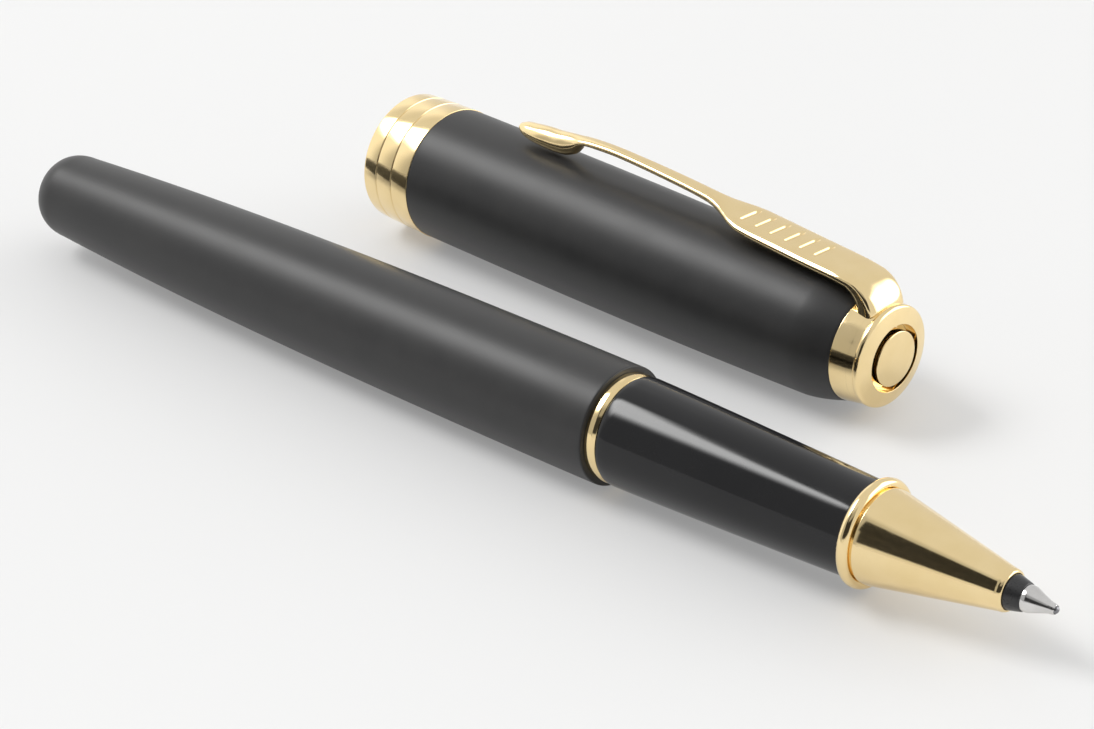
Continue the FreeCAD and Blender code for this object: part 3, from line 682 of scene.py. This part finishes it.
# soft panels: left, right, side softness, bottom, top, softness below, softness above, brightness
PANELS = [
    (-135, -50, 6, 0, 38, 5, 6, 1.15),
    (-46, -13, 5, -2, 62, 3, 6, 0.52),
    (-13, 62, 2, 38, 60, 6, 8, 0.42),
    (-15, 62, 2, 6, 40, 2, 3, 0.04),
    (-19, 0, 1.5, 30, 55, 3, 2, 0.035),
    (115, 168, 6, -3, 36, 3, 6, 3.3),
    (-87, -49, 6, 40, 57.6, 8, 1.5, 13.0),
]

CAMERA_FROM_TAIL = Vector((244.180, -188.224, 152.002))    # mm
CAMERA_RIGHT = Vector((0.739377, 0.671957, -0.042369))
CAMERA_UP = Vector((-0.307227, 0.392709, 0.866829))
CAMERA_LENS, CAMERA_SENSOR = 115.174, 36.0


def floor():
    # painted light: the floor glows by itself, which lifts its shadows; its base colour is lowered to make up
    # for the glow
    mat, nodes, links, bsdf = material("floor_white", 0.0, 0.6, Specular_IOR_Level=0.2,
                                       Emission_Color=(1, 1, 1, 1), Emission_Strength=FLOOR_PAINTED_GLOW)
    tone = noise(nodes, links, EVEN, 6, 2.0, 0.5)
    links.new(tint(nodes, links, tone, (0.539, 0.539, 0.538), (0.553, 0.553, 0.553)),
              bsdf.inputs["Base Color"])
    near, far = -FLOOR_HALF / 2, FLOOR_HALF
    mesh = bpy.data.meshes.new("floor")
    corners = [(-FLOOR_HALF, near, 0), (FLOOR_HALF, near, 0), (FLOOR_HALF, far, 0), (-FLOOR_HALF, far, 0)]
    mesh.from_pydata(corners, [], [(0, 1, 2, 3)])
    mesh.materials.append(mat)
    piece = bpy.data.objects.new("floor", mesh)
    piece.location = (0, 0, -FLOOR_DROP)
    bpy.context.scene.collection.objects.link(piece)


def world():
    """Studio surroundings by direction: azimuth from the front (-Y) towards +X, and elevation, in degrees."""
    sky = bpy.data.worlds.new("studio")
    bpy.context.scene.world = sky
    sky.use_nodes = True
    nodes, links = sky.node_tree.nodes, sky.node_tree.links
    direction = nodes.new("ShaderNodeTexCoord")
    split = nodes.new("ShaderNodeSeparateXYZ")
    links.new(direction.outputs["Generated"], split.inputs["Vector"])

    def maths(operation, *values):
        node = nodes.new("ShaderNodeMath")
        node.operation = operation
        for socket, value in zip(node.inputs, values):
            if isinstance(value, (int, float)):
                socket.default_value = value
            else:
                links.new(value, socket)
        return node.outputs["Value"]

    def soft_step(value, middle, soft, low, high):
        node = nodes.new("ShaderNodeMapRange")
        node.interpolation_type = "SMOOTHSTEP"
        node.inputs["From Min"].default_value = middle - soft
        node.inputs["From Max"].default_value = middle + soft
        node.inputs["To Min"].default_value = low
        node.inputs["To Max"].default_value = high
        links.new(value, node.inputs["Value"])
        return node.outputs["Result"]

    front = maths("MULTIPLY", split.outputs["Y"], -1.0)
    azimuth = maths("DEGREES", maths("ARCTAN2", split.outputs["X"], front))
    elevation = maths("DEGREES", maths("ARCSINE", split.outputs["Z"]))
    level = soft_step(elevation, 0.0, 1.0, GROUND_GLOW, SKY_GLOW)
    for left, right, soft_side, bottom, top, soft_bottom, soft_top, glow in PANELS:
        sides = maths("MULTIPLY", soft_step(azimuth, left, soft_side, 0, 1),
                      soft_step(azimuth, right, soft_side, 1, 0))
        ends = maths("MULTIPLY", soft_step(elevation, bottom, soft_bottom, 0, 1),
                     soft_step(elevation, top, soft_top, 1, 0))
        mask = maths("MULTIPLY", sides, ends)
        level = maths("ADD", maths("MULTIPLY", level, maths("SUBTRACT", 1.0, mask)),
                      maths("MULTIPLY", mask, glow))
    links.new(level, nodes["Background"].inputs["Strength"])
    nodes["Background"].inputs["Color"].default_value = STUDIO_COLOUR


def camera():
    """Long lens, looking down the pen from its writing end."""
    place = tail + CAMERA_FROM_TAIL * MM
    back = CAMERA_RIGHT.cross(CAMERA_UP).normalized()
    up = back.cross(CAMERA_RIGHT).normalized()
    data = bpy.data.cameras.new("camera")
    data.sensor_width = CAMERA_SENSOR
    data.lens = CAMERA_LENS
    data.clip_start = 0.01
    data.clip_end = 20.0
    piece = bpy.data.objects.new("camera", data)
    rows = [(CAMERA_RIGHT[i], up[i], back[i], place[i]) for i in range(3)]
    piece.matrix_world = Matrix((*rows, (0, 0, 0, 1)))
    bpy.context.scene.collection.objects.link(piece)
    bpy.context.scene.camera = piece


floor()
world()
camera()
view = bpy.context.scene.view_settings
view.view_transform = "Standard"
view.exposure = 0.0
